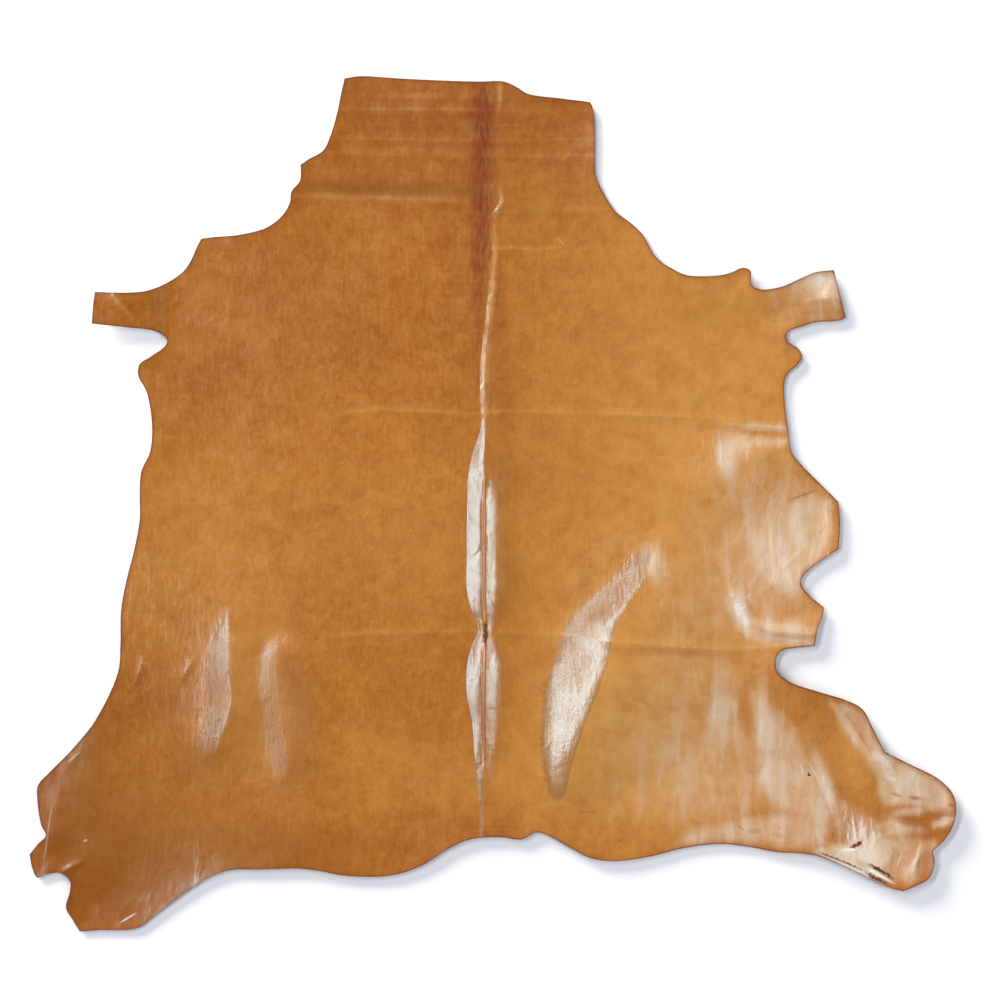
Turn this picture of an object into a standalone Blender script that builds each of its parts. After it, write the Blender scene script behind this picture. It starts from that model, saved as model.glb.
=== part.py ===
"""A whole tanned hide, grain side up, lying on a flat surface.

The hide is one sheet. Its outline runs clockwise in named stretches, from the neck round the
right-hand side to the rump and back up the left-hand side. Folds and swells lift it off the surface:
the spine ridge, three creases where it was once folded, neck wrinkles, and broad buckles in the flanks.

Frame: +X to the right of the spine with the neck away from the viewer, +Y from the tail towards the
neck, +Z up. The origin is under the middle of the hide's box, on the surface that it rests on.
"""

import math

import bpy
import numpy as np
from mathutils import Vector
from mathutils.geometry import delaunay_2d_cdt

MM = 0.001

# ---------------------------------------------------------------------------------------------
# Driving dimensions, in metres
# ---------------------------------------------------------------------------------------------

LEATHER_THICKNESS = 1.5 * MM
EDGE_LIFT = 6 * MM              # how far the cut edge stands off the surface, on average
EDGE_LIFT_REACH = 110 * MM      # how far in from the edge that lift starts
EDGE_LEAN = 0.6                 # how much more the lower right edge lifts, per metre to the right and down
EDGE_WAVE = 0.3                 # how much that lift comes and goes along the edge, as a share of it
EDGE_WAVE_RUN = (70 * MM, 85 * MM)  # length of that wave in x and in y, for each radian of it
EDGE_SWELL = 0.2                # the same share for the longer wave, from corner to corner
EDGE_SWELL_RUN = 120 * MM

# The sheet's mesh
OUTLINE_STEP = 10 * MM          # length of a straight run along the cut edge
LATTICE_PITCH = 28 * MM         # between the points of the lattice that covers the hide
FOLD_PITCH = (13 * MM, 26 * MM)     # between the points along a fold, on a narrow one and on a wide one
EDGE_ROOM = 5 * MM              # clear space that a point keeps to the cut edge
FOLD_ROOM = 6 * MM              # clear space that a point on a fold keeps to the points before it
LATTICE_ROOM = 13 * MM          # the same for a point of the lattice
WITHIN_LOOP = 1                 # the triangulation's output: triangles within the outline
CDT_EPSILON = 1e-6

# Outline: (x, y) in millimetres. A stretch runs smoothly from its first point to its last, and the
# hide has a corner where one stretch meets the next.
OUTLINE_MM = {
    "neck_edge": [
        (-192, 553), (-172, 556), (-120, 553), (-55, 550), (-16, 549), (14, 549), (31, 542), (46, 533),
        (88, 527), (127, 522)],
    "right_neck": [
        (127, 522), (131, 512), (133, 480), (133, 441), (135, 424), (146, 401), (160, 380), (181, 364),
        (196, 349), (209, 325), (223, 312), (250, 298), (276, 296), (305, 299), (326, 307), (335, 303),
        (336, 285), (348, 279), (374, 282), (400, 293), (419, 301), (443, 304)],
    "right_fore_shank": [
        (443, 304), (450, 275), (458, 243)],
    "right_elbow": [
        (458, 243), (452, 239), (419, 236), (400, 230), (385, 225), (381, 217), (384, 210), (397, 202),
        (402, 191), (396, 181), (383, 169), (379, 158), (379, 135), (384, 96), (388, 68), (400, 52),
        (426, 26), (449, 3)],
    "right_belly": [
        (449, 3), (451, -27), (449, -58)],
    "right_flank_notch": [
        (449, -58), (426, -74), (405, -91), (400, -102), (408, -115), (430, -134)],
    "right_flank_tab": [
        (430, -134), (428, -147), (422, -161), (418, -184)],
    "right_thigh": [
        (418, -184), (397, -186), (374, -191), (367, -205), (371, -219), (387, -231), (419, -242),
        (458, -254), (480, -266), (493, -290), (508, -321)],
    "right_hind_shank": [
        (508, -321), (543, -338), (578, -356), (596, -374), (601, -392), (597, -416), (587, -434),
        (571, -450)],
    "right_hock": [
        (571, -450), (573, -465), (566, -485), (549, -495), (532, -502)],
    "rump": [
        (532, -502), (508, -495), (464, -474), (421, -456), (400, -453), (367, -451), (335, -445),
        (296, -441), (250, -446), (205, -457), (159, -463), (127, -459), (101, -446), (72, -430),
        (57, -426), (38, -435), (10, -432), (-29, -435), (-55, -446), (-94, -470), (-133, -482),
        (-192, -482), (-224, -476), (-250, -473), (-302, -474), (-341, -475), (-367, -484),
        (-393, -500), (-432, -529), (-458, -549), (-467, -552), (-491, -553), (-510, -553),
        (-536, -555)],
    "left_hock": [
        (-536, -555), (-545, -540), (-554, -524), (-549, -503), (-549, -489), (-560, -479),
        (-577, -480), (-591, -485), (-597, -474), (-601, -455)],
    "left_hind_shank": [
        (-601, -455), (-591, -442), (-580, -430), (-586, -416), (-591, -384), (-590, -365),
        (-575, -348), (-549, -322), (-530, -300), (-519, -286), (-496, -244), (-485, -213),
        (-483, -183), (-482, -137), (-475, -98), (-465, -59), (-458, -20), (-458, 12), (-456, 42),
        (-445, 67), (-442, 90), (-444, 122), (-450, 148), (-460, 167), (-458, 182), (-443, 192),
        (-424, 207), (-423, 215), (-439, 225), (-471, 229), (-519, 234)],
    "left_fore_shank": [
        (-519, 234), (-517, 259), (-515, 275)],
    "left_shoulder": [
        (-515, 275), (-478, 274), (-448, 277), (-422, 288), (-402, 302), (-392, 316), (-384, 334),
        (-378, 345)],
    "left_neck_base": [
        (-378, 345), (-361, 347), (-328, 350), (-292, 360), (-272, 376), (-263, 392), (-261, 406),
        (-250, 420), (-249, 441)],
    "left_neck": [
        (-249, 441), (-237, 449), (-220, 459), (-211, 477), (-202, 507), (-196, 536), (-192, 553)],
}

# Folds. Each row is a station on the fold's crest, in millimetres.
#   A fold that runs down the hide:   y, crest x, width to its left, width to its right, height
#   A fold that runs across the hide: x, crest y, width below it, width above it, height
# "crest" shapes the top, from 1 for a sharp ridge to 2 for a round one, and "foot" the place where the
# side meets the surface, from 1 for a crisp line to 2 for a soft one. Each is given for the two sides
# in the order of the widths.
FOLDS_MM = {
    "spine": {"runs": "down", "crest": (1, 1), "foot": (1, 1), "rows": [
        (556, 11, 6, 6, 0.6), (402, 11, 6, 6, 0.4), (393, 13, 5, 5, 0.7), (385, 9, 5, 5, 0.8),
        (378, 6, 6, 6, 0.5), (330, 5, 7, 7, 0.7), (286, 2, 7, 7, 0.9), (224, -5, 7, 7, 1.1),
        (182, -9, 7, 7, 1.2), (124, -9, 7, 7, 1), (100, -9, 6, 6, 0)]},
    "spine_ridge": {"runs": "down", "crest": (1.1, 1.3), "foot": (1, 1.6), "rows": [
        (122, -9, 5, 8, 0), (110, -9, 5, 12, 0.9), (95, -9, 7, 18, 1.6), (77, -9, 13, 30, 3.0),
        (57, -10, 18, 40, 4.2), (35, -11, 21, 46, 4.9), (6, -14, 19, 44, 4.6), (-72, -14, 20, 45, 4.8),
        (-110, -14, 20, 45, 4.9), (-136, -14, 14, 36, 3.6), (-154, -13, 7, 24, 2.4),
        (-166, -12, 6, 20, 2.0), (-178, -13, 11, 28, 2.8), (-202, -14, 18, 42, 4.4),
        (-245, -15, 19, 43, 4.5), (-283, -14, 13, 34, 3.4), (-325, -13, 11, 24, 2.4),
        (-371, -11, 8, 16, 1.4), (-440, -11, 6, 10, 0.8)]},
    "spine_lip": {"runs": "down", "crest": (1, 1.05), "foot": (1, 1.15), "rows": [
        (50, -8, 3, 5, 0), (34, -9, 3, 9, 0.8), (18, -10, 3, 13, 1.5), (0, -10, 3, 15, 1.9),
        (-40, -10, 3, 15, 1.9), (-110, -10, 3, 15, 2.0), (-136, -9, 3, 12, 1.8), (-154, -8, 3, 9, 1.4),
        (-166, -8, 3, 7, 1.0), (-178, -9, 3, 11, 1.5), (-202, -10, 3, 18, 2.2), (-245, -11, 3, 19, 2.4),
        (-283, -11, 3, 17, 2.2), (-325, -10, 3, 14, 1.4), (-371, -9, 3, 10, 0)]},
    "upper_crease": {"runs": "across", "crest": (1, 1), "foot": (1.5, 1.5), "rows": [
        (-265, 400, 9, 7, 0.4), (-114, 396, 10, 7, 0.45), (-34, 393, 9, 7, 0.35), (-24, 393, 8, 6, 0),
        (-2, 380, 8, 6, 0), (10, 379, 9, 7, 0.4), (60, 379, 9, 7, 0.5), (160, 383, 8, 6, 0.3)]},
    "middle_crease": {"runs": "across", "crest": (1, 1), "foot": (1.5, 1.5), "rows": [
        (-232, 98, 9, 7, 0), (-200, 115, 9, 7, 0.3), (-167, 121, 10, 8, 0.5), (-93, 121, 10, 8, 0.6),
        (-14, 117, 9, 7, 0.6), (10, 120, 9, 7, 0.5), (110, 118, 10, 8, 0.6), (192, 116, 10, 8, 0.8),
        (275, 111, 10, 8, 0.9), (392, 104, 10, 8, 0.9)]},
    "lower_crease": {"runs": "across", "crest": (1, 1), "foot": (1.5, 1.5), "rows": [
        (-250, -172, 12, 12, 0), (-180, -169, 12, 12, 0.5), (-16, -166, 11, 11, 0.6), (10, -167, 11, 9, 0.6),
        (100, -171, 11, 9, 0.5), (162, -179, 11, 9, 0.6), (217, -182, 13, 11, 0.9), (275, -188, 13, 11, 1.2),
        (372, -186, 12, 10, 1.0)]},
    "neck_wrinkle_high": {"runs": "across", "crest": (1.5, 1.5), "foot": (2, 2), "rows": [
        (-205, 512, 12, 7, 0.4), (-40, 510, 12, 7, 0.45), (135, 508, 12, 7, 0.4)]},
    "neck_wrinkle_middle": {"runs": "across", "crest": (1.5, 1.5), "foot": (2, 2), "rows": [
        (-215, 473, 12, 8, 0.4), (-40, 471, 12, 8, 0.5), (140, 470, 12, 8, 0.4)]},
    "neck_wrinkle_low": {"runs": "across", "crest": (1.5, 1.5), "foot": (2, 2), "rows": [
        (-240, 455, 8, 7, 0.35), (-40, 453, 8, 7, 0.4), (140, 450, 8, 7, 0.35)]},
    "right_buckle": {"runs": "down", "crest": (1.25, 1.6), "foot": (1.35, 2), "rows": [
        (-20, 226, 16, 40, 0), (-40, 222, 24, 60, 1.5), (-56, 216, 31, 80, 3.2),
        (-75, 209, 39, 110, 5.8), (-97, 199, 48, 145, 8.8), (-124, 181, 59, 185, 12.2),
        (-150, 164, 66, 210, 15.2), (-196, 153, 72, 225, 17.5), (-234, 141, 74, 225, 18),
        (-283, 122, 60, 210, 15), (-325, 108, 46, 180, 11), (-371, 97, 27, 120, 5),
        (-405, 92, 18, 80, 0)]},
    "left_buckle": {"runs": "down", "crest": (1, 1.4), "foot": (1.6, 2), "rows": [
        (-125, -342, 14, 60, 0), (-150, -343, 20, 65, 1.6), (-190, -342, 34, 80, 4.4),
        (-221, -342, 40, 85, 5.6), (-250, -338, 42, 85, 5.8), (-282, -345, 42, 80, 5.0),
        (-312, -356, 36, 70, 3.0), (-345, -364, 30, 60, 0)]},
    "left_ripple": {"runs": "down", "crest": (1.25, 1.4), "foot": (1.2, 2), "rows": [
        (-165, -278, 16, 60, 0), (-190, -278, 24, 80, 3.4), (-221, -279, 29, 90, 4.6),
        (-262, -276, 28, 90, 4.7), (-296, -271, 28, 86, 4.7), (-334, -266, 23, 76, 3.8),
        (-372, -270, 18, 60, 0)]},
    "thigh_buckle": {"runs": "down", "crest": (1.4, 1.6), "foot": (1.3, 1.8), "rows": [
        (-225, 344, 12, 60, 0), (-258, 352, 18, 88, 1.2), (-283, 375, 36, 88, 2.6), (-304, 398, 57, 84, 3.6),
        (-329, 416, 75, 84, 4.4), (-366, 432, 91, 86, 5), (-396, 438, 97, 86, 5), (-449, 440, 95, 70, 4.4),
        (-480, 440, 90, 66, 4)]},
    "shank_edge": {"runs": "down", "crest": (1.2, 1.6), "foot": (1, 2), "rows": [
        (-235, 436, 8, 30, 1.0), (-258, 452, 11, 40, 1.6), (-300, 488, 14, 45, 2.4),
        (-345, 517, 18, 50, 2.8), (-385, 540, 22, 50, 2.8), (-425, 528, 22, 50, 1.8),
        (-460, 505, 16, 40, 0)]},
    "shank_swell": {"runs": "across", "crest": (1.4, 1.4), "foot": (2, 1.6), "rows": [
        (460, -380, 40, 40, 0), (505, -388, 46, 48, 2.5), (540, -396, 50, 54, 4), (580, -400, 50, 54, 4),
        (606, -402, 50, 54, 3)]},
    "flank_tab_fold": {"runs": "across", "crest": (1, 1.2), "foot": (1, 2), "rows": [
        (300, -88, 12, 26, 0), (313, -114, 15, 30, 3), (326, -134, 16, 34, 4.2), (341, -153, 16, 36, 4.6),
        (387, -166, 16, 34, 4.6), (432, -170, 14, 30, 3.5)]},
    "belly_swell": {"runs": "across", "crest": (2, 1.2), "foot": (2, 1.4), "rows": [
        (225, 60, 50, 34, 0), (270, 48, 76, 50, 4), (309, 48, 90, 52, 5.5), (348, 62, 90, 36, 4),
        (387, 74, 80, 24, 2.6), (420, 74, 60, 18, 2)]},
    "left_shank_swell": {"runs": "across", "crest": (2, 2), "foot": (2, 2), "rows": [
        (-412, 252, 90, 110, 0), (-445, 252, 90, 110, 6), (-480, 252, 90, 110, 11),
        (-530, 252, 90, 110, 13)]},
    "fore_shank_swell": {"runs": "across", "crest": (2, 1.2), "foot": (2, 1.4), "rows": [
        (360, 262, 18, 22, 0), (390, 262, 24, 28, 2), (425, 264, 26, 32, 3.4), (470, 262, 26, 32, 3.4)]},
    "left_hock_fold": {"runs": "down", "crest": (1.2, 1.6), "foot": (1, 2), "rows": [
        (-350, -566, 16, 30, 0), (-385, -564, 22, 40, 1), (-440, -572, 24, 44, 1.6),
        (-500, -580, 20, 40, 1.2)]},
}

# Finish
HIDE_COLOUR = (0.46, 0.17, 0.035, 1.0)      # honey tan, linear
HIDE_ROUGHNESS = 0.4


# ---------------------------------------------------------------------------------------------
# Outline
# ---------------------------------------------------------------------------------------------

def smooth_run(points, step):
    """Points every step or so along a centripetal Catmull-Rom curve through points.

    The last point is left out, because the next stretch starts there.
    """
    ends = [2 * points[0] - points[1]] + points + [2 * points[-1] - points[-2]]
    run = []
    for before, start, end, after in zip(ends, ends[1:], ends[2:], ends[3:]):
        knots = [math.sqrt((b - a).length) for a, b in ((before, start), (start, end), (end, after))]
        chord = end - start
        leaving = chord + knots[1] * ((start - before) / knots[0] - (end - before) / (knots[0] + knots[1]))
        arriving = chord + knots[1] * ((after - end) / knots[2] - (after - start) / (knots[1] + knots[2]))
        pieces = max(1, round(chord.length / step))
        for t in (piece / pieces for piece in range(pieces)):
            run.append(start + leaving * t + (3 * chord - 2 * leaving - arriving) * t ** 2
                       + (leaving + arriving - 2 * chord) * t ** 3)
    return run


def hide_outline():
    """The whole cut edge as an array of points, clockwise, each stretch smooth between its corners."""
    edge = []
    for stretch in OUTLINE_MM.values():
        edge += smooth_run([Vector(point) * MM for point in stretch], OUTLINE_STEP)
    return np.array(edge)


def edge_distance(x, y, edge):
    """Distance from each point to the nearest run of the cut edge."""
    nearest = np.full(np.shape(x), np.inf)
    for (ax, ay), (bx, by) in zip(edge, np.roll(edge, -1, axis=0)):
        run_x, run_y = bx - ax, by - ay
        along = np.clip(((x - ax) * run_x + (y - ay) * run_y) / (run_x ** 2 + run_y ** 2), 0, 1)
        nearest = np.minimum(nearest, np.hypot(x - ax - along * run_x, y - ay - along * run_y))
    return nearest


def inside_outline(x, y, edge):
    """True for each point within the cut edge, by counting the edges that a line to its right crosses."""
    crossings = np.zeros(np.shape(x), dtype=int)
    for (ax, ay), (bx, by) in zip(edge, np.roll(edge, -1, axis=0)):
        spans = (ay > y) != (by > y)
        crossings += spans & (x < ax + (y - ay) * (bx - ax) / (by - ay if by != ay else 1))
    return crossings % 2 == 1


# ---------------------------------------------------------------------------------------------
# Heights
# ---------------------------------------------------------------------------------------------

def eased(at, stations, values):
    """Smooth values between stations: a cubic between each pair, level slopes at the two ends."""
    order = np.argsort(stations)
    stations, values = np.asarray(stations, float)[order], np.asarray(values, float)[order]
    slopes = np.gradient(values, stations)
    slopes[0] = slopes[-1] = 0
    at = np.clip(at, stations[0], stations[-1])
    gap = np.clip(np.searchsorted(stations, at) - 1, 0, len(stations) - 2)
    width = stations[gap + 1] - stations[gap]
    t = (at - stations[gap]) / width
    return (values[gap] * (1 + 2 * t) * (1 - t) ** 2 + values[gap + 1] * t ** 2 * (3 - 2 * t)
            + slopes[gap] * width * t * (1 - t) ** 2 - slopes[gap + 1] * width * t ** 2 * (1 - t))


def fold_lines(fold, along):
    """Crest, the two widths and the height of a fold at each place along it."""
    stations, *columns = (MM * np.array(fold["rows"])).T
    return [eased(along, stations, column) for column in columns]


def fold_height(fold, x, y):
    """Height that one fold gives each point: (1 - t^crest)^foot, t running from crest to foot."""
    along, across = (y, x) if fold["runs"] == "down" else (x, y)
    crest, low_width, high_width, height = fold_lines(fold, along)
    low_side = across < crest
    t = np.clip(np.abs(across - crest) / np.where(low_side, low_width, high_width), 0, 1)
    shape = (1 - t ** np.where(low_side, *fold["crest"])) ** np.where(low_side, *fold["foot"])
    return np.clip(height, 0, None) * shape


def edge_height(x, y, edge):
    """Lift near the cut edge: a parabola that starts EDGE_LIFT_REACH in, waving along the edge."""
    rise = np.clip(1 - edge_distance(x, y, edge) / EDGE_LIFT_REACH, 0, 1) ** 2
    wave = EDGE_WAVE * np.sin(x / EDGE_WAVE_RUN[0]) * np.cos(y / EDGE_WAVE_RUN[1])
    swell = EDGE_SWELL * np.sin((x + y) / EDGE_SWELL_RUN)
    lean = 1 + EDGE_LEAN * (x - y)
    return EDGE_LIFT * (1 + wave + swell) * lean * rise


def hide_height(x, y, edge):
    """Height of the flesh side above the surface: nothing where the hide lies flat on it."""
    return edge_height(x, y, edge) + sum(fold_height(fold, x, y) for fold in FOLDS_MM.values())


# ---------------------------------------------------------------------------------------------
# Sheet
# ---------------------------------------------------------------------------------------------

def fold_points(fold):
    """Points along a fold's crest and along both its feet, closer together on a narrow fold."""
    rows = MM * np.array(fold["rows"])
    pitch = np.clip(rows[:, 2:4].mean(), *FOLD_PITCH)
    along = np.linspace(rows[:, 0].min(), rows[:, 0].max(), 1 + round(float(np.ptp(rows[:, 0]) / pitch)))
    crest, low_width, high_width, _ = fold_lines(fold, along)
    across = np.concatenate([crest, crest - low_width, crest + high_width])
    along = np.tile(along, 3)
    return np.column_stack((across, along) if fold["runs"] == "down" else (along, across))


def lattice_points(edge):
    """An even lattice over the hide's box."""
    low, high = edge.min(axis=0), edge.max(axis=0)
    columns, rows = np.meshgrid(*(np.arange(a, b, LATTICE_PITCH) for a, b in zip(low, high)))
    return np.column_stack((columns.ravel(), rows.ravel()))


def mesh_points(edge):
    """The cut edge, then every fold point and lattice point that has room between those before it."""
    points = [tuple(point) for point in edge]
    groups = [(fold_points(fold), FOLD_ROOM) for fold in FOLDS_MM.values()]
    groups.append((lattice_points(edge), LATTICE_ROOM))
    for group, room in groups:
        x, y = group.T
        inside = inside_outline(x, y, edge) & (edge_distance(x, y, edge) > EDGE_ROOM)
        for point in group[inside]:
            if np.hypot(*(np.array(points) - point).T).min() > room:
                points.append(tuple(point))
    return points


def hide_sheet(name):
    """The hide's flesh side as an open sheet: triangles between its points, raised to their heights."""
    edge = hide_outline()
    loop = [(here, (here + 1) % len(edge)) for here in range(len(edge))]
    flat, _, triangles, *_ = delaunay_2d_cdt([Vector(point) for point in mesh_points(edge)], loop, [],
                                             WITHIN_LOOP, CDT_EPSILON)
    x, y = np.array(flat).T
    mesh = bpy.data.meshes.new(name)
    mesh.from_pydata(np.column_stack((x, y, hide_height(x, y, edge))).tolist(), [], triangles)
    return mesh


def hide_material():
    """Glazed tan leather."""
    material = bpy.data.materials.new("tan_leather")
    material.use_nodes = True
    shader = material.node_tree.nodes["Principled BSDF"]
    shader.inputs["Base Color"].default_value = HIDE_COLOUR
    shader.inputs["Roughness"].default_value = HIDE_ROUGHNESS
    shader.inputs["Metallic"].default_value = 0.0
    return material


def make_hide(collection):
    """The hide: its sheet, thickened upwards so that the flesh side keeps its flats on the surface."""
    mesh = hide_sheet("hide")
    mesh.materials.append(hide_material())
    mesh.shade_smooth()
    hide = bpy.data.objects.new("hide", mesh)
    collection.objects.link(hide)
    leather = hide.modifiers.new("leather", "SOLIDIFY")
    leather.thickness = LEATHER_THICKNESS
    leather.offset = 1.0
    return hide


for old in list(bpy.data.objects):
    bpy.data.objects.remove(old)

leather_hide = bpy.data.collections.new("leather_hide")
bpy.context.scene.collection.children.link(leather_hide)
make_hide(leather_hide)
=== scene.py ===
import math

import bpy
import numpy as np
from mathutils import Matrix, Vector
from mathutils.geometry import delaunay_2d_cdt


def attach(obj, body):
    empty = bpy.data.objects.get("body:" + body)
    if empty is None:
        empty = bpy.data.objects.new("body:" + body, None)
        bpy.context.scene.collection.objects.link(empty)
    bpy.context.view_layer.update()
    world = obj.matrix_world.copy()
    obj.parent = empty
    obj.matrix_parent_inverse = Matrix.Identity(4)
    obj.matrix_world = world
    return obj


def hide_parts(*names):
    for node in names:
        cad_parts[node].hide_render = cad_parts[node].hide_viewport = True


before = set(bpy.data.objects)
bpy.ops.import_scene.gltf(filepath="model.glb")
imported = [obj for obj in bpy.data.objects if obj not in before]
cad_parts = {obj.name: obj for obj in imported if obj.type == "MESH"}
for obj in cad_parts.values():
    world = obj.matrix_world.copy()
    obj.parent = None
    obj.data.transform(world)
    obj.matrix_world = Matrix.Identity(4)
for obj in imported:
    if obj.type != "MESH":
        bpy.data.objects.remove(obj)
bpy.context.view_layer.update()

MM = 0.001


# ---- The hide ----------------------------------------------------------------------------------
# One whole tanned skin, cut round its edge with a knife and left in one piece. It lies grain side up
# on a flat surface, flat in its middle, with its edges curled up a little and its old folds standing.
# The flesh side is built first, as a sheet of small triangles, and thickened upwards to the grain.

THICKNESS = 1.5 * MM
EDGE_LIFT = 6 * MM              # how far the cut edge stands off the surface, on average
EDGE_LIFT_REACH = 110 * MM      # how far in from the edge that lift starts
EDGE_LEAN = 0.6                 # how much more the lower right edge lifts, per metre to the right and down
EDGE_WAVE = 0.3                 # how much that lift comes and goes along the edge, as a share of it
EDGE_WAVE_RUN = (70 * MM, 85 * MM)  # length of that wave in x and in y, for each radian of it
EDGE_SWELL = 0.2                # the same share for the longer wave, from corner to corner
EDGE_SWELL_RUN = 120 * MM
OUTLINE_STEP = 3 * MM           # length of a straight run along the cut edge
LATTICE_PITCH = 5 * MM          # between the points that cover the hide
FOLD_STEP = 4 * MM              # between the points along a crisp line
FOLD_SOFTNESS = 1.5 * MM        # how far each side of a crisp line its turn is spread
POINT_ROOM = 1.4 * MM           # two points on crisp lines never stand closer than about this
CRISP = 1.5                     # a fold whose "crest" or "foot" is under this has a crisp line there
WITHIN_LOOP = 1                 # tells the triangulation to keep what the cut edge encloses
SAME_POINT = 0.001 * MM         # points nearer than this are taken as one
SHARP_TURN = 50                 # degrees between two faces from which their edge is drawn sharp

# The cut edge, clockwise from the neck's left corner: (x, y) in millimetres. A stretch runs smoothly
# from its first point to its last, and two stretches meet at a corner.
EDGE_MM = {
    "neck_edge": [
        (-192, 553), (-172, 556), (-120, 553), (-55, 550), (-16, 549), (14, 549), (31, 542), (46, 533),
        (88, 527), (127, 522)],
    "right_neck": [
        (127, 522), (131, 512), (133, 480), (133, 441), (135, 424), (146, 401), (160, 380), (181, 364),
        (196, 349), (209, 325), (223, 312), (250, 298), (276, 296), (305, 299), (326, 307), (335, 303),
        (336, 285), (348, 279), (374, 282), (400, 293), (419, 301), (443, 304)],
    "right_fore_shank": [
        (443, 304), (450, 275), (458, 243)],
    "right_elbow": [
        (458, 243), (452, 239), (419, 236), (400, 230), (385, 225), (381, 217), (384, 210), (397, 202),
        (402, 191), (396, 181), (383, 169), (379, 158), (379, 135), (384, 96), (388, 68), (400, 52),
        (426, 26), (449, 3)],
    "right_belly": [
        (449, 3), (451, -27), (449, -58)],
    "right_flank_notch": [
        (449, -58), (426, -74), (405, -91), (400, -102), (408, -115), (430, -134)],
    "right_flank_tab": [
        (430, -134), (428, -147), (422, -161), (418, -184)],
    "right_thigh": [
        (418, -184), (397, -186), (374, -191), (367, -205), (371, -219), (387, -231), (419, -242),
        (458, -254), (480, -266), (493, -290), (508, -321)],
    "right_hind_shank": [
        (508, -321), (543, -338), (578, -356), (596, -374), (601, -392), (597, -416), (587, -434),
        (571, -450)],
    "right_hock": [
        (571, -450), (573, -465), (566, -485), (549, -495), (532, -502)],
    "rump": [
        (532, -502), (508, -495), (464, -474), (421, -456), (400, -453), (367, -451), (335, -445),
        (296, -441), (250, -446), (205, -457), (159, -463), (127, -459), (101, -446), (72, -430),
        (57, -426), (38, -435), (10, -432), (-29, -435), (-55, -446), (-94, -470), (-133, -482),
        (-192, -482), (-224, -476), (-250, -473), (-302, -474), (-341, -475), (-367, -484),
        (-393, -500), (-432, -529), (-458, -549), (-467, -552), (-491, -553), (-510, -553),
        (-536, -555)],
    "left_hock": [
        (-536, -555), (-545, -540), (-554, -524), (-549, -503), (-549, -489), (-560, -479),
        (-577, -480), (-591, -485), (-597, -474), (-601, -455)],
    "left_hind_shank": [
        (-601, -455), (-591, -442), (-580, -430), (-586, -416), (-591, -384), (-590, -365),
        (-575, -348), (-549, -322), (-530, -300), (-519, -286), (-496, -244), (-485, -213),
        (-483, -183), (-482, -137), (-475, -98), (-465, -59), (-458, -20), (-458, 12), (-456, 42),
        (-445, 67), (-442, 90), (-444, 122), (-450, 148), (-460, 167), (-458, 182), (-443, 192),
        (-424, 207), (-423, 215), (-439, 225), (-471, 229), (-519, 234)],
    "left_fore_shank": [
        (-519, 234), (-517, 259), (-515, 275)],
    "left_shoulder": [
        (-515, 275), (-478, 274), (-448, 277), (-422, 288), (-402, 302), (-392, 316), (-384, 334),
        (-378, 345)],
    "left_neck_base": [
        (-378, 345), (-361, 347), (-328, 350), (-292, 360), (-272, 376), (-263, 392), (-261, 406),
        (-250, 420), (-249, 441)],
    "left_neck": [
        (-249, 441), (-237, 449), (-220, 459), (-211, 477), (-202, 507), (-196, 536), (-192, 553)],
}

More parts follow.
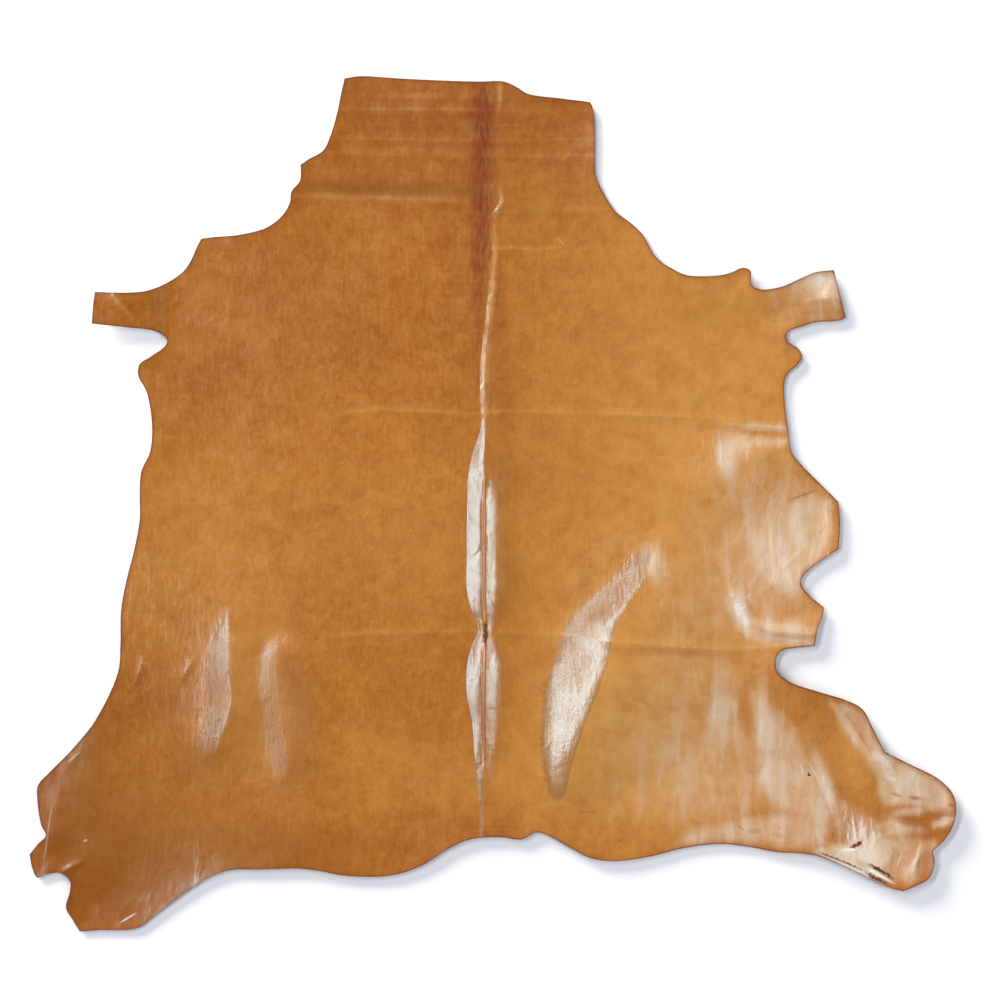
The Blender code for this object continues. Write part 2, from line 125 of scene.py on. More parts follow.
# The folds: a row for each station on the crest, in millimetres. A fold that runs down the hide has
# y, crest x, width to the left, width to the right, height. One that runs across has x, crest y,
# width below, width above, height. "crest" goes from 1 for a sharp top to 2 for a round one, and "foot"
# from 1 for a crisp line to 2 for a soft one, for the two sides in the order of the widths.
FOLDS_MM = {
    "spine": {"runs": "down", "crest": (1, 1), "foot": (1, 1), "rows": [
        (556, 11, 6, 6, 0.6), (402, 11, 6, 6, 0.4), (393, 13, 5, 5, 0.7), (385, 9, 5, 5, 0.8),
        (378, 6, 6, 6, 0.5), (330, 5, 7, 7, 0.7), (286, 2, 7, 7, 0.9), (224, -5, 7, 7, 1.1),
        (182, -9, 7, 7, 1.2), (124, -9, 7, 7, 1), (100, -9, 6, 6, 0)]},
    "spine_ridge": {"runs": "down", "crest": (1.1, 1.3), "foot": (1, 1.6), "rows": [
        (122, -9, 5, 8, 0), (110, -9, 5, 12, 0.9), (95, -9, 7, 18, 1.6), (77, -9, 13, 30, 3.0),
        (57, -10, 18, 40, 4.2), (35, -11, 21, 46, 4.9), (6, -14, 19, 44, 4.6), (-72, -14, 20, 45, 4.8),
        (-110, -14, 20, 45, 4.9), (-136, -14, 14, 36, 3.6), (-154, -13, 7, 24, 2.4),
        (-166, -12, 6, 20, 2.0), (-178, -13, 11, 28, 2.8), (-202, -14, 18, 42, 4.4),
        (-245, -15, 19, 43, 4.5), (-283, -14, 13, 34, 3.4), (-325, -13, 11, 24, 2.4),
        (-371, -11, 8, 16, 1.4), (-440, -11, 6, 10, 0.8)]},
    "spine_lip": {"runs": "down", "crest": (1, 1.05), "foot": (1, 1.15), "rows": [
        (50, -8, 3, 5, 0), (34, -9, 3, 9, 0.8), (18, -10, 3, 13, 1.5), (0, -10, 3, 15, 1.9),
        (-40, -10, 3, 15, 1.9), (-110, -10, 3, 15, 2.0), (-136, -9, 3, 12, 1.8), (-154, -8, 3, 9, 1.4),
        (-166, -8, 3, 7, 1.0), (-178, -9, 3, 11, 1.5), (-202, -10, 3, 18, 2.2), (-245, -11, 3, 19, 2.4),
        (-283, -11, 3, 17, 2.2), (-325, -10, 3, 14, 1.4), (-371, -9, 3, 10, 0)]},
    "upper_crease": {"runs": "across", "crest": (1, 1), "foot": (1.5, 1.5), "rows": [
        (-265, 400, 9, 7, 0.4), (-114, 396, 10, 7, 0.45), (-34, 393, 9, 7, 0.35), (-24, 393, 8, 6, 0),
        (-2, 380, 8, 6, 0), (10, 379, 9, 7, 0.4), (60, 379, 9, 7, 0.5), (160, 383, 8, 6, 0.3)]},
    "middle_crease": {"runs": "across", "crest": (1, 1), "foot": (1.5, 1.5), "rows": [
        (-232, 98, 9, 7, 0), (-200, 115, 9, 7, 0.3), (-167, 121, 10, 8, 0.5), (-93, 121, 10, 8, 0.6),
        (-14, 117, 9, 7, 0.6), (10, 120, 9, 7, 0.5), (110, 118, 10, 8, 0.6), (192, 116, 10, 8, 0.8),
        (275, 111, 10, 8, 0.9), (392, 104, 10, 8, 0.9)]},
    "lower_crease": {"runs": "across", "crest": (1, 1), "foot": (1.5, 1.5), "rows": [
        (-250, -172, 12, 12, 0), (-180, -169, 12, 12, 0.5), (-16, -166, 11, 11, 0.6), (10, -167, 11, 9, 0.6),
        (100, -171, 11, 9, 0.5), (162, -179, 11, 9, 0.6), (217, -182, 13, 11, 0.9), (275, -188, 13, 11, 1.2),
        (372, -186, 12, 10, 1.0)]},
    "neck_wrinkle_high": {"runs": "across", "crest": (1.5, 1.5), "foot": (2, 2), "rows": [
        (-205, 512, 12, 7, 0.4), (-40, 510, 12, 7, 0.45), (135, 508, 12, 7, 0.4)]},
    "neck_wrinkle_middle": {"runs": "across", "crest": (1.5, 1.5), "foot": (2, 2), "rows": [
        (-215, 473, 12, 8, 0.4), (-40, 471, 12, 8, 0.5), (140, 470, 12, 8, 0.4)]},
    "neck_wrinkle_low": {"runs": "across", "crest": (1.5, 1.5), "foot": (2, 2), "rows": [
        (-240, 455, 8, 7, 0.35), (-40, 453, 8, 7, 0.4), (140, 450, 8, 7, 0.35)]},
    "right_buckle": {"runs": "down", "crest": (1.25, 1.6), "foot": (1.35, 2), "rows": [
        (-20, 226, 16, 40, 0), (-40, 222, 24, 60, 1.5), (-56, 216, 31, 80, 3.2),
        (-75, 209, 39, 110, 5.8), (-97, 199, 48, 145, 8.8), (-124, 181, 59, 185, 12.2),
        (-150, 164, 66, 210, 15.2), (-196, 153, 72, 225, 17.5), (-234, 141, 74, 225, 18),
        (-283, 122, 60, 210, 15), (-325, 108, 46, 180, 11), (-371, 97, 27, 120, 5),
        (-405, 92, 18, 80, 0)]},
    "left_buckle": {"runs": "down", "crest": (1, 1.4), "foot": (1.6, 2), "rows": [
        (-125, -342, 14, 60, 0), (-150, -343, 20, 65, 1.6), (-190, -342, 34, 80, 4.4),
        (-221, -342, 40, 85, 5.6), (-250, -338, 42, 85, 5.8), (-282, -345, 42, 80, 5.0),
        (-312, -356, 36, 70, 3.0), (-345, -364, 30, 60, 0)]},
    "left_ripple": {"runs": "down", "crest": (1.25, 1.4), "foot": (1.2, 2), "rows": [
        (-165, -278, 16, 60, 0), (-190, -278, 24, 80, 3.4), (-221, -279, 29, 90, 4.6),
        (-262, -276, 28, 90, 4.7), (-296, -271, 28, 86, 4.7), (-334, -266, 23, 76, 3.8),
        (-372, -270, 18, 60, 0)]},
    "thigh_buckle": {"runs": "down", "crest": (1.4, 1.6), "foot": (1.3, 1.8), "rows": [
        (-225, 344, 12, 60, 0), (-258, 352, 18, 88, 1.2), (-283, 375, 36, 88, 2.6), (-304, 398, 57, 84, 3.6),
        (-329, 416, 75, 84, 4.4), (-366, 432, 91, 86, 5), (-396, 438, 97, 86, 5), (-449, 440, 95, 70, 4.4),
        (-480, 440, 90, 66, 4)]},
    "shank_edge": {"runs": "down", "crest": (1.2, 1.6), "foot": (1, 2), "rows": [
        (-235, 436, 8, 30, 1.0), (-258, 452, 11, 40, 1.6), (-300, 488, 14, 45, 2.4),
        (-345, 517, 18, 50, 2.8), (-385, 540, 22, 50, 2.8), (-425, 528, 22, 50, 1.8),
        (-460, 505, 16, 40, 0)]},
    "shank_swell": {"runs": "across", "crest": (1.4, 1.4), "foot": (2, 1.6), "rows": [
        (460, -380, 40, 40, 0), (505, -388, 46, 48, 2.5), (540, -396, 50, 54, 4), (580, -400, 50, 54, 4),
        (606, -402, 50, 54, 3)]},
    "flank_tab_fold": {"runs": "across", "crest": (1, 1.2), "foot": (1, 2), "rows": [
        (300, -88, 12, 26, 0), (313, -114, 15, 30, 3), (326, -134, 16, 34, 4.2), (341, -153, 16, 36, 4.6),
        (387, -166, 16, 34, 4.6), (432, -170, 14, 30, 3.5)]},
    "belly_swell": {"runs": "across", "crest": (2, 1.2), "foot": (2, 1.4), "rows": [
        (225, 60, 50, 34, 0), (270, 48, 76, 50, 4), (309, 48, 90, 52, 5.5), (348, 62, 90, 36, 4),
        (387, 74, 80, 24, 2.6), (420, 74, 60, 18, 2)]},
    "left_shank_swell": {"runs": "across", "crest": (2, 2), "foot": (2, 2), "rows": [
        (-412, 252, 90, 110, 0), (-445, 252, 90, 110, 6), (-480, 252, 90, 110, 11),
        (-530, 252, 90, 110, 13)]},
    "fore_shank_swell": {"runs": "across", "crest": (2, 1.2), "foot": (2, 1.4), "rows": [
        (360, 262, 18, 22, 0), (390, 262, 24, 28, 2), (425, 264, 26, 32, 3.4), (470, 262, 26, 32, 3.4)]},
    "left_hock_fold": {"runs": "down", "crest": (1.2, 1.6), "foot": (1, 2), "rows": [
        (-350, -566, 16, 30, 0), (-385, -564, 22, 40, 1), (-440, -572, 24, 44, 1.6),
        (-500, -580, 20, 40, 1.2)]},
}

# Shallow old creases and puckers, in the same columns.
FINE_FOLDS_MM = {
    "neck_line_top": {"runs": "across", "crest": (1, 1), "foot": (2, 2), "rows": [
        (-210, 530, 6, 5, 0.12), (-60, 529, 7, 5, 0.25), (20, 529, 7, 5, 0.05)]},
    "neck_line_high": {"runs": "across", "crest": (1, 1), "foot": (2, 2), "rows": [
        (-215, 512, 6, 5, 0.1), (-40, 511, 7, 5, 0.2), (20, 509, 6, 5, 0.15), (128, 509, 6, 5, 0.1)]},
    "neck_line_middle": {"runs": "across", "crest": (1, 1), "foot": (2, 2), "rows": [
        (-225, 474, 6, 5, 0.05), (-90, 473, 6, 5, 0.15), (30, 473, 6, 5, 0.1), (135, 474, 5, 5, 0.05)]},
    "neck_line_low": {"runs": "across", "crest": (1, 1), "foot": (2, 2), "rows": [
        (-232, 461, 6, 4, 0.1), (-60, 460, 6, 4, 0.2), (60, 462, 6, 4, 0.15), (136, 462, 5, 4, 0.1)]},
    "neck_line_lowest": {"runs": "across", "crest": (1, 1), "foot": (2, 2), "rows": [
        (-232, 454, 5, 4, 0.1), (-80, 452, 5, 4, 0.15), (40, 451, 5, 4, 0.15), (136, 451, 5, 4, 0.1)]},
    "withers_line": {"runs": "across", "crest": (1, 1), "foot": (2, 2), "rows": [
        (-5, 331, 5, 4, 0.1), (20, 332, 6, 5, 0.5), (60, 331, 6, 5, 0.5), (100, 334, 5, 4, 0)]},
    "shoulder_pucker": {"runs": "down", "crest": (1.2, 1.2), "foot": (2, 2), "rows": [
        (326, 214, 6, 8, 0), (312, 222, 8, 10, 0.9), (300, 236, 8, 10, 1.1), (285, 246, 6, 8, 0)]},
    "hock_pucker": {"runs": "down", "crest": (1.2, 1.2), "foot": (2, 2), "rows": [
        (-190, -452, 6, 6, 0), (-208, -455, 9, 9, 1.0), (-228, -462, 9, 9, 1.0), (-246, -470, 6, 6, 0)]},
    "thigh_pucker": {"runs": "down", "crest": (1.2, 1.2), "foot": (2, 2), "rows": [
        (-196, -388, 5, 6, 0), (-210, -394, 7, 7, 0.8), (-226, -402, 7, 7, 0.7), (-238, -406, 5, 6, 0)]},
    "shank_pucker": {"runs": "down", "crest": (1.2, 1.2), "foot": (2, 2), "rows": [
        (-300, -526, 6, 8, 0), (-318, -534, 9, 9, 0.9), (-336, -548, 9, 9, 0.8), (-352, -556, 6, 8, 0)]},
    "foot_pucker": {"runs": "across", "crest": (1.2, 1.2), "foot": (2, 2), "rows": [
        (-565, -478, 6, 8, 0), (-551, -473, 8, 10, 1.6), (-540, -468, 8, 10, 1.6), (-525, -462, 6, 8, 0)]},
    "belly_line": {"runs": "across", "crest": (1, 1), "foot": (2, 2), "rows": [
        (230, 108, 5, 5, 0), (275, 106, 7, 6, 0.4), (330, 102, 7, 6, 0.7), (395, 98, 7, 6, 0.8)]},
    "flank_line_a": {"runs": "down", "crest": (1, 1), "foot": (2, 2), "rows": [
        (24, 383, 4, 4, 0), (4, 377, 5, 5, 0.6), (-22, 368, 5, 5, 0.7), (-60, 364, 5, 5, 0.6),
        (-86, 363, 4, 4, 0)]},
    "flank_line_b": {"runs": "down", "crest": (1, 1), "foot": (2, 2), "rows": [
        (-8, 341, 4, 4, 0), (-30, 327, 5, 5, 0.5), (-56, 315, 5, 5, 0.5), (-72, 308, 4, 4, 0)]},
    "flank_line_c": {"runs": "down", "crest": (1, 1), "foot": (2, 2), "rows": [
        (-54, 402, 4, 4, 0), (-66, 396, 5, 5, 0.5), (-84, 378, 5, 5, 0.5), (-92, 372, 4, 4, 0)]},
    "flank_line_d": {"runs": "down", "crest": (1, 1), "foot": (2, 2), "rows": [
        (-84, 350, 4, 4, 0), (-98, 342, 5, 5, 0.6), (-120, 330, 5, 5, 0.5), (-134, 324, 4, 4, 0)]},
    "left_tab_crease": {"runs": "down", "crest": (1, 1), "foot": (2, 2), "rows": [
        (284, -492, 5, 5, 0.2), (268, -488, 6, 6, 0.8), (254, -478, 6, 6, 0.8), (240, -464, 5, 5, 0)]},
    "right_tab_crease": {"runs": "across", "crest": (1, 1), "foot": (2, 2), "rows": [
        (395, 262, 6, 6, 0), (415, 266, 7, 7, 0.9), (438, 268, 7, 7, 1.1), (458, 266, 6, 6, 0.5)]},
    "shank_line": {"runs": "down", "crest": (1, 1), "foot": (2, 2), "rows": [
        (-255, 437, 4, 5, 0.2), (-262, 443, 5, 6, 0.8), (-283, 460, 6, 7, 1.0), (-304, 475, 7, 8, 1.2),
        (-329, 491, 8, 10, 1.2), (-352, 501, 9, 12, 0.7), (-375, 505, 9, 12, 0)]},
    "flap_crease": {"runs": "down", "crest": (1, 1), "foot": (2, 2), "rows": [
        (-440, 556, 6, 6, 0), (-452, 554, 8, 7, 1.2), (-474, 544, 8, 7, 1.4), (-490, 536, 6, 6, 0.4)]},
}

# How pale each crest line is drawn, from 0 to 1: partly finish worn off the crest, partly a painted
# highlight along it.
WORN_AND_LIT_CRESTS = {
    "spine": 0.75, "upper_crease": 0.25, "middle_crease": 0.4, "lower_crease": 0.3,
    "neck_line_top": 0.4, "neck_line_high": 0.25, "neck_line_middle": 0.2, "neck_line_low": 0.25,
    "neck_line_lowest": 0.25, "withers_line": 0.5, "belly_line": 1.0, "flank_line_a": 0.6,
    "flank_line_b": 0.4, "flank_line_c": 0.5, "flank_line_d": 0.5, "left_tab_crease": 0.6,
    "right_tab_crease": 0.6, "flap_crease": 0.7, "shank_line": 1.0, "flank_tab_fold": 0.3,
}
# The pale crest lines, partly wear and partly painted highlight: their width, and the fold height for full
# strength.
CREST_LINE_WIDTH = 2.2 * MM
CREST_LINE_HEIGHT = 0.5 * MM          # a fold at least this high is worn as far as the table says

# Folds with painted shade on the flank that mirrors a lamp: a darker base colour under the highlight, so
# that the reflection reads white. -1 for the left flank or 1 for the right one, how far, and the slope at
# which it is dark all over. It starts at half of that slope.
SHADED_FLANK_FOLDS = {
    "spine_ridge": (-1, 0.65, 0.17), "spine_lip": (1, 0.15, 0.17), "right_buckle": (-1, 0.6, 0.17),
    "left_buckle": (-1, 0.5, 0.12), "left_ripple": (-1, 0.3, 0.17),
}

# Broad changes of the skin: how much paler, redder, more golden or darker it is, how much duller where
# it is satin, and how far its grain stands up where it is tufted or rumpled. The paler patches are partly
# paler leather and partly painted glare and highlights.
#   centre x, centre y, half width, half height in millimetres, turn in degrees, strength from 0 to 1
PALE_AND_GLARE_MM = {
    "flank": (360, -70, 90, 110, 0, 0.45),
    "tab_band": (375, -161, 50, 8, -8, 0.55),
    "belly_line": (360, 100, 40, 5, -3, 0.6),
    "right_thigh": (250, -330, 100, 90, 0, 0.3),
    "right_shoulder": (430, 280, 70, 60, 0, 0.35),
    "belly": (302, 64, 13, 24, 8, 0.85),
    "belly_high": (322, 76, 14, 16, 0, 0.7),
    "belly_right": (362, 81, 34, 6, 0, 0.5),
    "thigh_streak": (300, -265, 15, 50, 0, 0.6),
    "thigh_glare": (349, -280, 7, 50, 0, 0.8),
    "thigh_edge": (436, -375, 8, 60, 18, 0.6),
    "thigh_low": (310, -385, 60, 36, 0, 0.2),
    "thigh_right": (425, -358, 12, 30, 20, 0.45),
    "shin_line": (462, -289, 7, 40, 32, 0.85),
    "shin_frost": (505, -333, 10, 20, 30, 0.8),
    "shank_line": (516, -352, 12, 26, 30, 0.9),
    "shank_rim": (590, -410, 20, 6, 20, 0.9),
    "shank_fold": (545, -398, 40, 7, 14, 0.6),
    "paw_glare": (452, -450, 24, 6, -8, 0.9),
    "tab_glare": (322, -142, 9, 20, 20, 1.0),
    "right_tab": (432, 290, 30, 18, 0, 0.6),
    "buckle_end": (208, -78, 20, 28, 25, 0.5),
    "left_hock": (-560, -330, 40, 90, 0, 0.2),
}
RED_MM = {
    "neck": (-40, 510, 190, 70, 0, 0.6),
    "neck_right": (110, 460, 50, 80, 0, 0.3),
    "shoulder_left": (-190, 400, 130, 50, 0, 0.3),
    "spine": (-40, 270, 34, 110, 0, 0.5),
    "spine_right": (9, 250, 9, 60, 0, 0.55),
    "spine_right_low": (14, 160, 12, 50, 0, 0.3),
    "tail": (10, -425, 70, 30, 0, 0.5),
    "left_foot": (-520, -520, 50, 40, 0, 0.4),
    "left_hock": (-590, -420, 40, 90, 0, 0.4),
}
GOLDEN_MM = {
    "right_side": (280, 60, 240, 420, 0, 0.75),
    "rump_edge": (140, -370, 190, 70, 0, 0.45),
    "loin": (110, -240, 80, 120, 0, 0.4),
    "right_thigh": (210, -270, 110, 110, 0, 0.45),
    "shin_band": (470, -345, 26, 70, 20, 0.5),
    "middle": (-150, -60, 200, 120, 0, 0.3),
    # This row is partly worn finish and partly painted light, on the side of the upper crease that tilts
    # towards the lamps.
    "upper_crease": (-160, 399, 80, 4, -1, 0.6),
    "left_flank": (-420, -60, 90, 140, 0, 0.35),
    "left_loin": (-310, -250, 60, 120, 0, 0.5),
    "left_rump": (-120, -330, 120, 60, 0, 0.3),
}
DARK_MM = {
    "left_edge": (-540, -360, 90, 160, 0, 0.6),
    "left_foot": (-480, -480, 160, 100, 0, 0.8),
    "left_rump": (-270, -470, 150, 60, 0, 0.7),
    "left_hock": (-440, -260, 40, 40, 0, 0.35),
    "rump": (-40, -440, 120, 40, 0, 0.3),
    "shoulder": (-330, 240, 170, 120, 0, 0.35),
    "neck": (-30, 490, 220, 110, 0, 0.35),
    "neck_left": (-180, 535, 60, 40, 0, 0.4),
    "spine": (0, 0, 50, 330, 0, 0.2),
    "spine_right": (9, 225, 9, 50, 0, 0.3),
    "spine_right_middle": (20, 150, 16, 60, 0, 0.3),
    # The next two rows are painted shade, on the flanks of the spine ridge and of the left ripple that face
    # away from the lamps.
    "spine_right_low": (22, -100, 22, 60, 0, 0.35),
    "ripple": (-256, -255, 14, 50, 0, 0.2),
    "thigh": (-300, -230, 130, 90, 0, 0.2),
    "plum": (-378, -336, 46, 40, 0, 0.55),
    # The next two rows are painted shade at the upper crease: a band above it on the left, and along it on
    # the right.
    "crease": (-150, 410, 150, 11, -1.5, 0.85),
    "crease_right": (40, 379, 50, 5, 0, 0.6),
}
SATIN_MM = {
    "left_ripple": (-272, -285, 34, 90, 0, 1.0),
    "left_buckle": (-372, -240, 34, 80, 0, 0.55),
    "right_buckle": (170, -110, 40, 30, 30, 0.25),
    "right_buckle_flank": (110, -150, 24, 90, -20, 0.5),
    "spine_lip": (8, -250, 14, 60, 0, 0.1),
}
TUFTED_MM = {
    "right_buckle": (188, -88, 42, 54, 30, 1.0),
    "left_buckle": (-366, -245, 30, 65, 0, 0.5),
}
RUMPLED_MM = {
    "right_buckle": (178, -84, 50, 50, 0, 0.5),
    "left_buckle": (-358, -240, 24, 60, 0, 0.8),
    "flank": (385, -50, 70, 110, 0, 0.9),
    "belly": (310, 60, 60, 50, 0, 0.7),
    "thigh": (345, -310, 45, 80, 0, 0.5),
    "left_thigh": (-410, -220, 90, 100, 0, 0.35),
    "left_flank": (-460, -120, 70, 90, 0, 0.4),
    "shank": (545, -385, 50, 40, 0, 0.5),
}

# Places where the finish is dry and pale, partly painted glare: an outline in millimetres, the width over
# which it fades out, and its strength from 0 to 1.
BLOOM_AND_SHEEN_MM = {
    "flank": {"fade": 14, "strength": 0.62, "outline": [
        (380, 3), (420, 14), (440, 2), (440, -50), (414, -80), (404, -100), (409, -115), (388, -125),
        (365, -115), (345, -92), (341, -76), (361, -45), (372, -10)]},
    "flank_tab": {"fade": 9, "strength": 0.65, "outline": [
        (301, -118), (311, -122), (328, -148), (367, -162), (406, -167), (423, -173), (421, -187),
        (387, -185), (335, -177), (313, -161), (301, -138)]},
    "thigh": {"fade": 16, "strength": 0.58, "outline": [
        (337, -239), (348, -244), (367, -265), (392, -297), (413, -335), (430, -365), (440, -394),
        (436, -430), (400, -410), (370, -395), (340, -360), (337, -306)]},
    "thigh_hem": {"fade": 14, "strength": 0.5, "outline": [
        (437, -400), (436, -444), (387, -446), (322, -440), (257, -444), (228, -450), (262, -418),
        (315, -408), (370, -400)]},
    "shin": {"fade": 7, "strength": 0.5, "outline": [
        (442, -256), (468, -262), (484, -270), (496, -296), (512, -322), (514, -345), (500, -335),
        (480, -306), (462, -280)]},
    "shank": {"fade": 8, "strength": 0.62, "outline": [
        (498, -330), (514, -322), (540, -336), (577, -356), (600, -384), (596, -404), (560, -396),
        (530, -388), (510, -392), (501, -375)]},
    "shank_low": {"fade": 9, "strength": 0.55, "outline": [
        (500, -415), (520, -405), (546, -412), (566, -424), (530, -432), (500, -436)]},
    "paw": {"fade": 10, "strength": 0.72, "outline": [
        (412, -448), (440, -440), (480, -446), (510, -430), (528, -438), (518, -462), (500, -484),
        (478, -488), (439, -465)]},
    "flap": {"fade": 10, "strength": 0.4, "outline": [
        (500, -425), (540, -428), (588, -440), (572, -470), (540, -494), (505, -480)]},
}

# Small marks: centre x, centre y, half length, half width in millimetres, turn in degrees, strength from
# 0 to 1. The first table's are dark cuts and holes, with painted shade in the valley beside the spine
# (spine_slit, spine_groove). The next one's are soft brown blotches, with painted shade in the spine's
# valley, below the lower crease and in the rows named shade. The last one's are painted glints and
# highlights, most on the lips of the cuts, and a few pale scratches.
MARKS_MM = {
    "pinhole": (411, -351, 3.4, 3, 0, 1.0),
    "knife_mark": (470, -443, 8, 2.8, 20, 0.9),
    "knife_end": (476, -440, 3.6, 3.6, 0, 1.0),
    "slit_high": (505, -476, 24, 2.6, -30, 1.0),
    "slit_low": (500, -487, 24, 3.0, -30, 1.0),
    "rim_slit": (452, -463, 38, 2.4, -23, 0.9),
    "spine_slit": (-9, -169, 23, 3.6, 90, 1.0),
    "flank_scar": (405, 12, 27, 1.4, 21, 0.5),
    "rump_mark": (121, -400, 20, 1.6, 0, 0.4),
    "spine_groove": (-12, -70, 110, 4.5, 90, 0.22),
    "spine_groove_low": (-12.5, -270, 90, 4.5, 90, 0.22),
    "rump_nick": (322, -420, 8, 1.6, -38, 0.6),
    "tail_nick": (166, -437, 5, 2, 10, 0.5),
}
BLOTCHES_AND_SHADE_MM = {
    "brown_scar": (548, -381, 14, 4, -8, 1.0),
    "brown_scar_tail": (524, -377, 12, 3, -20, 0.9),
    "end_spot": (594, -390, 6, 4, 0, 1.0),
    "shank_brown": (538, -410, 30, 12, -14, 0.9),
    "shank_brown_low": (500, -425, 22, 8, 20, 0.5),
    "paw_brown": (570, -428, 22, 8, 24, 0.8),
    "flap_brown": (560, -466, 18, 26, -20, 0.7),
    "slit_brown": (486, -470, 30, 8, -28, 0.6),
    "hem_brown": (340, -424, 14, 6, 0, 0.4),
    "hem_brown_right": (372, -430, 16, 5, -10, 0.4),
    "spine_groove": (-12, -60, 130, 7, 90, 0.8),
    "spine_groove_low": (-12.5, -280, 110, 7, 90, 0.8),
    "hock_crease": (-407, -305, 34, 4, 68, 0.7),
    "hock_shade": (-438, -255, 36, 24, -20, 0.35),
    "ripple_shade": (-244, -280, 18, 24, 10, 0.3),
    "foot_shade": (-500, -420, 110, 60, 30, 0.3),
    "rump_red": (-410, -260, 40, 30, 0, 0.25),
    "tab_brown": (385, -172, 40, 4, -6, 0.4),
    "belly_brown": (345, 93, 60, 5, -4, 0.4),
    "end_brown": (584, -398, 16, 9, 0, 0.7),
    "crease_brown_low": (190, -190, 160, 9, -3, 0.25),
}
GLINTS_AND_SCRATCHES_MM = {
    "foot_scratch": (-473, -537, 16, 1.4, 31, 0.8),
    "hock_line": (-577, -425, 50, 1.6, 82, 0.25),
    "hock_dot": (-529, -437, 3.5, 2, 20, 0.5),
    "hock_glint": (-543, -328, 14, 1.6, 40, 0.4),
    "slit_lip": (502, -481, 26, 2.6, -30, 1.0),
    "rim_lip": (458, -468, 40, 2.8, -23, 1.0),
    "rim_lip_right": (505, -493, 20, 2.4, -26, 0.8),
    "knife_lip": (462, -448, 12, 3, 0, 0.9),
    "pinhole_hook": (402, -345, 12, 1.6, 100, 0.5),
    "pinhole_edge": (420, -352, 26, 1.6, -60, 0.3),
    "withers_scratch": (88, 342, 10, 1.0, -40, 0.25),
    "flap_line": (548, -466, 20, 2.4, 68, 0.6),
    "flap_line_left": (528, -462, 12, 2.0, 70, 0.4),
}


def smooth_run(points, step):
    """Points every step or so on a Catmull-Rom curve: cubic spans whose end directions weigh the two
    chords that meet there by the square root of their lengths. The last point is left out."""
    p = np.array([2 * points[0] - points[1], *points, 2 * points[-1] - points[-2]])
    chords = np.diff(p, axis=0)
    knots = np.sqrt(np.linalg.norm(chords, axis=1))[:, None]
    bends = chords[:-1] / knots[:-1] - (p[2:] - p[:-2]) / (knots[:-1] + knots[1:]) + chords[1:] / knots[1:]
    spans = []
    for start, chord, knot, leaving, arriving in zip(p[1:], chords[1:], knots[1:], bends, bends[1:]):
        pieces = max(1, round(float(knot[0] ** 2 / step)))
        t = (np.arange(pieces) / pieces)[:, None]
        leave, arrive = knot * leaving, knot * arriving
        spans.append(start + leave * t + (3 * chord - 2 * leave - arrive) * t ** 2
                     + (leave + arrive - 2 * chord) * t ** 3)
    return np.concatenate(spans)


def edge_distance(x, y, edge):
    """Distance from each point to the nearest straight run of the cut edge."""
    nearest = np.full(np.shape(x), np.inf)
    for (ax, ay), (run_x, run_y) in zip(edge, np.roll(edge, -1, axis=0) - edge):
        along = np.clip(((x - ax) * run_x + (y - ay) * run_y) / (run_x ** 2 + run_y ** 2), 0, 1)
        nearest = np.minimum(nearest, (x - ax - along * run_x) ** 2 + (y - ay - along * run_y) ** 2)
    return np.sqrt(nearest)


def inside_edge(x, y, edge):
    """True within the cut edge: a line from the point to the right crosses it an odd number of times."""
    odd = np.zeros(np.shape(x), dtype=bool)
    for (ax, ay), (bx, by) in zip(edge, np.roll(edge, -1, axis=0)):
        if ay != by:
            odd ^= ((ay > y) != (by > y)) & (x < ax + (y - ay) * (bx - ax) / (by - ay))
    return odd


def eased(at, stations, values):
    """Smooth values between stations: a cubic over each gap, with level slopes at the two ends."""
    order = np.argsort(stations)
    stations, values = stations[order], values[order]
    slopes = np.gradient(values, stations)
    slopes[0] = slopes[-1] = 0
    at = np.clip(at, stations[0], stations[-1])
    gap = np.clip(np.searchsorted(stations, at) - 1, 0, len(stations) - 2)
    width = stations[gap + 1] - stations[gap]
    t = (at - stations[gap]) / width
    return (values[gap] * (1 + 2 * t) * (1 - t) ** 2 + values[gap + 1] * t ** 2 * (3 - 2 * t)
            + slopes[gap] * width * t * (1 - t) ** 2 - slopes[gap + 1] * width * t ** 2 * (1 - t))


def fold_lines(fold, along):
    """Crest, the two widths and the height of a fold at each place along it."""
    stations, *columns = MM * np.array(fold["rows"]).T
    return [eased(along, stations, column) for column in columns]


def fold_height(fold, x, y):
    """Height that one fold gives each point: (1 - t^crest)^foot, t running from crest to foot."""
    along, across = (y, x) if fold["runs"] == "down" else (x, y)
    crest, low_width, high_width, height = fold_lines(fold, along)
    low_side = across < crest
    t = np.clip(np.abs(across - crest) / np.where(low_side, low_width, high_width), 0, 1)
    shape = (1 - t ** np.where(low_side, *fold["crest"])) ** np.where(low_side, *fold["foot"])
    return np.clip(height, 0, None) * shape


def shaded_flank(fold, side, steep, x, y):
    """1 where one flank of the fold is steep, from its height half a millimetre to either side."""
    across = side * (x - fold_lines(fold, y)[0])
    slope = (fold_height(fold, x - side * MM / 2, y) - fold_height(fold, x + side * MM / 2, y)) / MM
    t = np.clip(2 * slope / steep - 1, 0, 1)
    return (across > 0) * t ** 2 * (3 - 2 * t)


def edge_height(x, y, away):
    """Lift near the cut edge: a parabola that starts EDGE_LIFT_REACH in, waving along the edge."""
    rise = np.clip(1 - away / EDGE_LIFT_REACH, 0, 1) ** 2
    wave = EDGE_WAVE * np.sin(x / EDGE_WAVE_RUN[0]) * np.cos(y / EDGE_WAVE_RUN[1])
    swell = EDGE_SWELL * np.sin((x + y) / EDGE_SWELL_RUN)
    lean = 1 + EDGE_LEAN * (x - y)
    return EDGE_LIFT * (1 + wave + swell) * lean * rise


